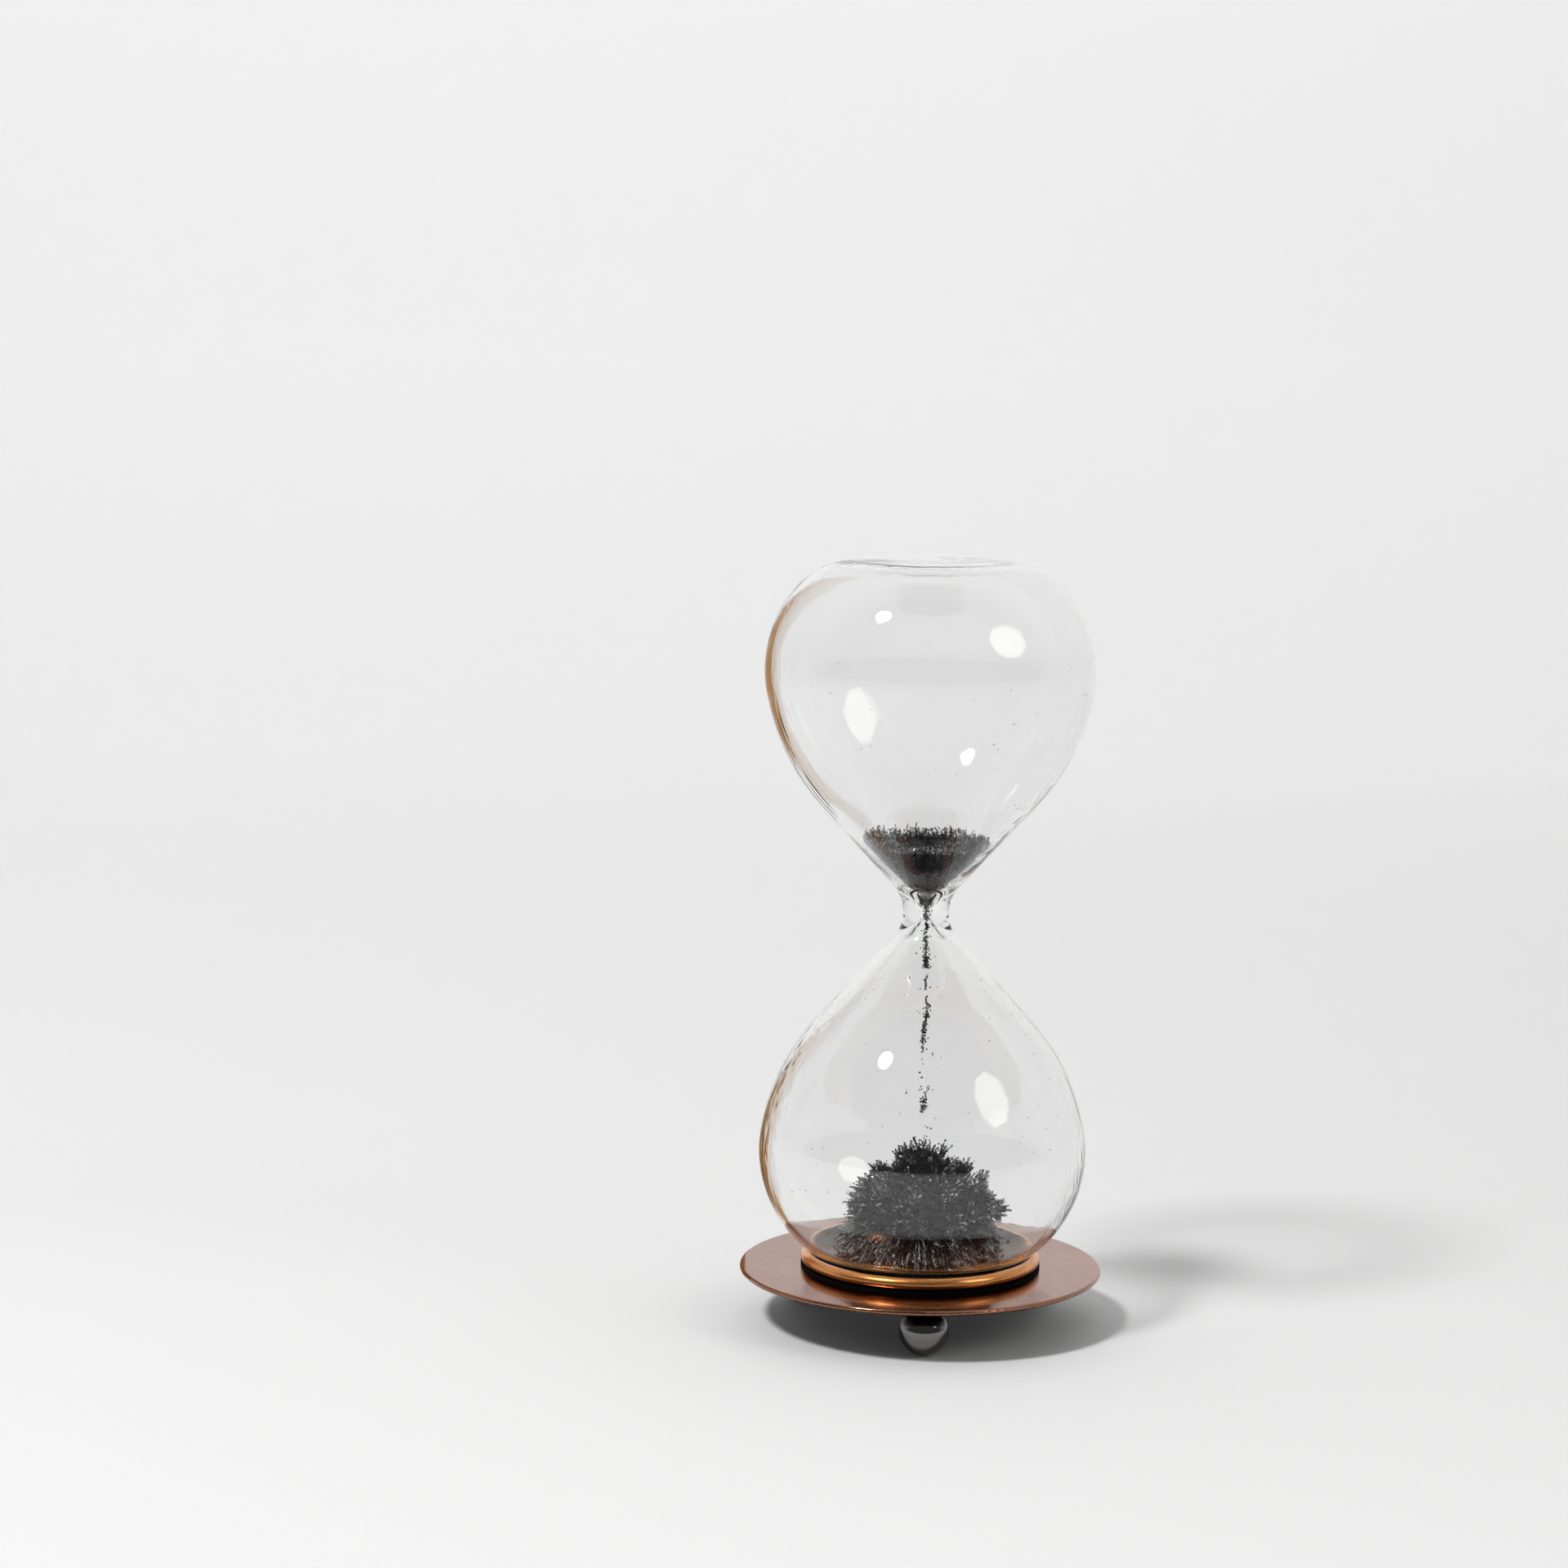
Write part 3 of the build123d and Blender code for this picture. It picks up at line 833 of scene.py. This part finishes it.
def build_stream(material):
    """The falling filings, in clumps and runs, with stray grains beside them."""
    parts = []
    for top, bottom, x_top, x_bottom, wide_top, wide_bottom, density in STREAM_RUNS:
        clumps = int(np.ceil((top - bottom) / CLUMP_SPACING))
        place = (np.arange(clumps) + rng.uniform(0.2, 0.8, clumps)) / clumps
        fewest, most = max(2, int(0.2 * density)), int(0.75 * density) + 3
        share = np.repeat(place, rng.integers(fewest, most, clumps))
        share = np.clip(share + rng.normal(0, 0.2, len(share)) / (top - bottom), 0, 1)
        wide = wide_top + (wide_bottom - wide_top) * share
        spread = rng.normal(0, 0.85, len(share)) * wide
        points = turned(spread, rng.uniform(0, 2 * math.pi, len(share)), top + (bottom - top) * share)
        points[:, 0] += x_top + (x_bottom - x_top) * share + 0.12 * np.sin(share * 9 + top)
        parts.append(points)
    radius = np.abs(rng.normal(0, 1.3, STRAY_GRAINS)) + 0.5
    angle = rng.uniform(0, 2 * math.pi, STRAY_GRAINS)
    parts.append(turned(radius, angle, rng.uniform(-52, -6, STRAY_GRAINS)))
    centres = np.concatenate(parts) * MM + [0, 0, NECK_Z]
    grains = loose_grains(centres, 0.8 * MM, 0.5 * MM)
    add_grains("filings_stream_grains", grains, material, "filings_stream")


def build_specks(material):
    """Grains that cling to the inside of the glass and lie about the mound."""
    radii, heights = whole_outline(GLASS_WALL)
    spans = {
        "upper": (NECK_Z + 14 * MM, glass_high.z - 12 * MM),
        "lower": (glass_low.z + 8 * MM, NECK_Z - 12 * MM),
    }
    parts = []
    for bulb, count in CLINGING_SPECKS.items():
        level = rng.uniform(*spans[bulb], count)
        radius = np.interp(level, heights, radii) - 0.12 * MM
        parts.append(turned(radius, rng.uniform(0, 2 * math.pi, count), level))
    radius = rng.uniform(15.0, 21.5, LYING_SPECKS) * MM
    parts.append(turned(radius, rng.uniform(0, 2 * math.pi, LYING_SPECKS), inner_floor(radius)))
    grains = loose_grains(np.concatenate(parts), 0.44 * MM, 0.3 * MM)
    add_grains("filings_specks", grains, material, "filings_mound")


def stage_piece(name, corners, faces, material):
    """A part of the set, which isn't part of the object."""
    mesh = bpy.data.meshes.new(name)
    mesh.from_pydata(corners, [], faces)
    mesh.materials.append(material)
    piece = bpy.data.objects.new(name, mesh)
    bpy.context.scene.collection.objects.link(piece)
    return piece


# ---------------------------------------------------------------- set, lights and camera
TABLE_FRONT = -5.0
TABLE_BACK = 0.95
TABLE_HALF_WIDTH = 6.0
SWEEP_RADIUS = 0.45
WALL_TOP = 2.6

KEY_DIRECTION = (-0.46, -0.36, 0.81)
KEY_DISTANCE = 1.5
KEY_WIDTH = 0.24
KEY_WATTS = 15.0
SOFTBOX_DIRECTION = (0.743, -0.423, 0.519)
SOFTBOX_DISTANCE = 1.6
SOFTBOX_RADIUS = 0.38
SOFTBOX_STRENGTH = 2.8

# The brown card's two upright edges, as places on the table, and its height
CARD_EDGES = [(-0.0906, 0.0423), (-0.0390, 0.0182)]
CARD_HEIGHT = 0.225
CARD_STRENGTH = 0.8

CAMERA_PLACE = (-0.0315, -0.8755, 0.2395)
CAMERA_DOWN = math.radians(7.806)
CAMERA_ROLL = math.radians(0.7)
CAMERA_LENS = 92.84


def build_table():
    """A pale table that sweeps up into a backdrop, which glows a little towards the back."""
    material, tree, shader = new_material("backdrop_paper")
    position = object_position(tree)
    fibres = noise(tree, position, 900.0, detail=4.0)
    tree.links.new(blend_colours(tree, fibres, grey(0.80), grey(0.83)), shader.inputs["Base Color"])
    constants(shader, Roughness=0.85, Specular_IOR_Level=0.2, Emission_Color=(1.0, 1.0, 1.0, 1.0))
    glow = ramp(tree, axis_value(tree, position, "Y"), 0.1, 1.3, 0.0, 0.33)
    tree.links.new(glow, shader.inputs["Emission Strength"])
    profile = [(TABLE_FRONT, 0.0), (TABLE_BACK, 0.0)]
    profile += arc(profile[-1], 0.0, SWEEP_RADIUS, math.pi / 2, 24)
    profile.append((profile[-1][0], WALL_TOP))
    corners = [(side * TABLE_HALF_WIDTH, y, z) for y, z in profile for side in (-1, 1)]
    faces = [(2 * i, 2 * i + 1, 2 * i + 3, 2 * i + 2) for i in range(len(profile) - 1)]
    table = stage_piece("table", corners, faces, material)
    table.data.polygons.foreach_set("use_smooth", [True] * len(faces))


def build_world():
    """A room that is pale behind. To the lens it is pale all round, and to mirrors it is dim in front."""
    world = bpy.data.worlds.new("studio")
    bpy.context.scene.world = world
    world.use_nodes = True
    tree = world.node_tree
    direction = add_node(tree, "ShaderNodeTexCoord").outputs["Generated"]
    back = ramp(tree, axis_value(tree, direction, "Y"), -0.25, 0.35, 0.0, 1.0)
    path = add_node(tree, "ShaderNodeLightPath").outputs
    mirrored = scalar_math(tree, "GREATER_THAN", path["Glossy Depth"], 0.5)
    scattered = scalar_math(tree, "GREATER_THAN", path["Diffuse Depth"], 0.5)
    in_mirrors = blend_colours(tree, back, grey(0.11), grey(0.78))
    seen = blend_colours(tree, mirrored, grey(0.86), in_mirrors)
    lit = blend_colours(tree, back, grey(0.18), grey(0.86))
    colour = blend_colours(tree, scattered, seen, lit)
    tree.links.new(colour, tree.nodes["Background"].inputs["Color"])


def aim(piece, direction, distance, target):
    """Puts a lamp or a lit piece at a distance from its target, facing it along its own -Z."""
    place = target + Vector(direction).normalized() * distance
    piece.location = place
    piece.rotation_mode = "QUATERNION"
    piece.rotation_quaternion = (target - place).to_track_quat("-Z", "Y")


def build_lights(middle):
    """A small hard key from the upper left and an eight-sided softbox from the right."""
    lamp = bpy.data.lights.new("key", "AREA")
    lamp.shape = "DISK"
    lamp.size = KEY_WIDTH
    lamp.energy = KEY_WATTS
    key = bpy.data.objects.new("key", lamp)
    bpy.context.scene.collection.objects.link(key)
    aim(key, KEY_DIRECTION, KEY_DISTANCE, middle)

    material, tree, _ = new_material("softbox")
    glow = add_node(tree, "ShaderNodeEmission", {"Color": (1.0, 0.98, 0.95, 1), "Strength": SOFTBOX_STRENGTH})
    tree.links.new(glow.outputs[0], tree.nodes["Material Output"].inputs["Surface"])
    angles = np.arange(8) * math.pi / 4 + math.pi / 8
    corners = [(SOFTBOX_RADIUS * math.cos(a), SOFTBOX_RADIUS * math.sin(a), 0) for a in angles]
    softbox = stage_piece("softbox", corners, [tuple(range(8))[::-1]], material)
    aim(softbox, SOFTBOX_DIRECTION, SOFTBOX_DISTANCE, middle)
    softbox.visible_camera = False


def build_card():
    """A narrow brown card that stands out from the vessel on its left and glows with its own brown light,
    painting a brown reflection into the glass's left edge.
    The lens doesn't see it, and it shows through no more than two faces of the glass."""
    material, tree, _ = new_material("brown_card")
    fibres = noise(tree, object_position(tree), 600.0, detail=5.0)
    colour = blend_colours(tree, fibres, (0.42, 0.22, 0.09, 1), (0.5, 0.28, 0.12, 1))
    path = add_node(tree, "ShaderNodeLightPath").outputs
    hidden = scalar_math(tree, "GREATER_THAN", path["Transmission Depth"], 2.5)
    glow = add_node(tree, "ShaderNodeEmission", {"Color": colour, "Strength": CARD_STRENGTH}).outputs[0]
    clear = add_node(tree, "ShaderNodeBsdfTransparent").outputs[0]
    mix = add_node(tree, "ShaderNodeMixShader", {0: hidden, 1: glow, 2: clear})
    tree.links.new(mix.outputs[0], tree.nodes["Material Output"].inputs["Surface"])
    outer, inner = CARD_EDGES
    corners = [(*outer, 0.0), (*inner, 0.0), (*inner, CARD_HEIGHT), (*outer, CARD_HEIGHT)]
    card = stage_piece("brown_card", corners, [(0, 1, 2, 3)], material)
    card.visible_camera = False
    card.visible_diffuse = False
    card.visible_shadow = False


def build_camera():
    """The photograph's viewpoint: from the front, a little above the glass, off to the left."""
    data = bpy.data.cameras.new("camera")
    data.sensor_width = 36.0
    data.lens = CAMERA_LENS
    data.clip_start = 0.05
    data.clip_end = 20.0
    camera = bpy.data.objects.new("camera", data)
    bpy.context.scene.collection.objects.link(camera)
    upright = Matrix.Rotation(math.pi / 2 - CAMERA_DOWN, 4, "X")
    camera.matrix_world = Matrix.Translation(CAMERA_PLACE) @ upright @ Matrix.Rotation(CAMERA_ROLL, 4, "Z")
    bpy.context.scene.camera = camera


# ---------------------------------------------------------------- build
iron = filings_material()
build_glass(glass_material())
build_mound(iron)
build_fringe(iron)
build_heap(iron)
build_stream(iron)
build_specks(iron)

plate_finish = {"polish": 0.14, "coat": 0.36, "coat_roughness": 0.02, "shaded": underside}
ring_finish = {"polish": 0.26, "coat": 0.5, "coat_roughness": 0.1, "shaded": painted_ring_shade}
dress(["base_plate"], copper_material("copper_plate", *PLATE_COPPER, **plate_finish))
dress(["cradle_ring"], copper_material("copper_ring", *RING_COPPER, **ring_finish))
dress(["cradle_pad"], rubber_material())
dress([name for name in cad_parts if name.startswith("ball_foot")], black_nickel_material())
dress([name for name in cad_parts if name.startswith("foot_stud")], turned_steel_material())
dress(["magnet_disc"], ferrite_material())
dress(["magnet_tape"], tape_material())

build_table()
build_world()
build_lights(Vector((0, 0, NECK_Z)))
build_card()
build_camera()

scene = bpy.context.scene
scene.view_settings.view_transform = "Standard"
scene.cycles.max_bounces = 24
scene.cycles.transmission_bounces = 20
scene.cycles.glossy_bounces = 12
scene.cycles.transparent_max_bounces = 24
scene.cycles.caustics_reflective = False
scene.cycles.caustics_refractive = False
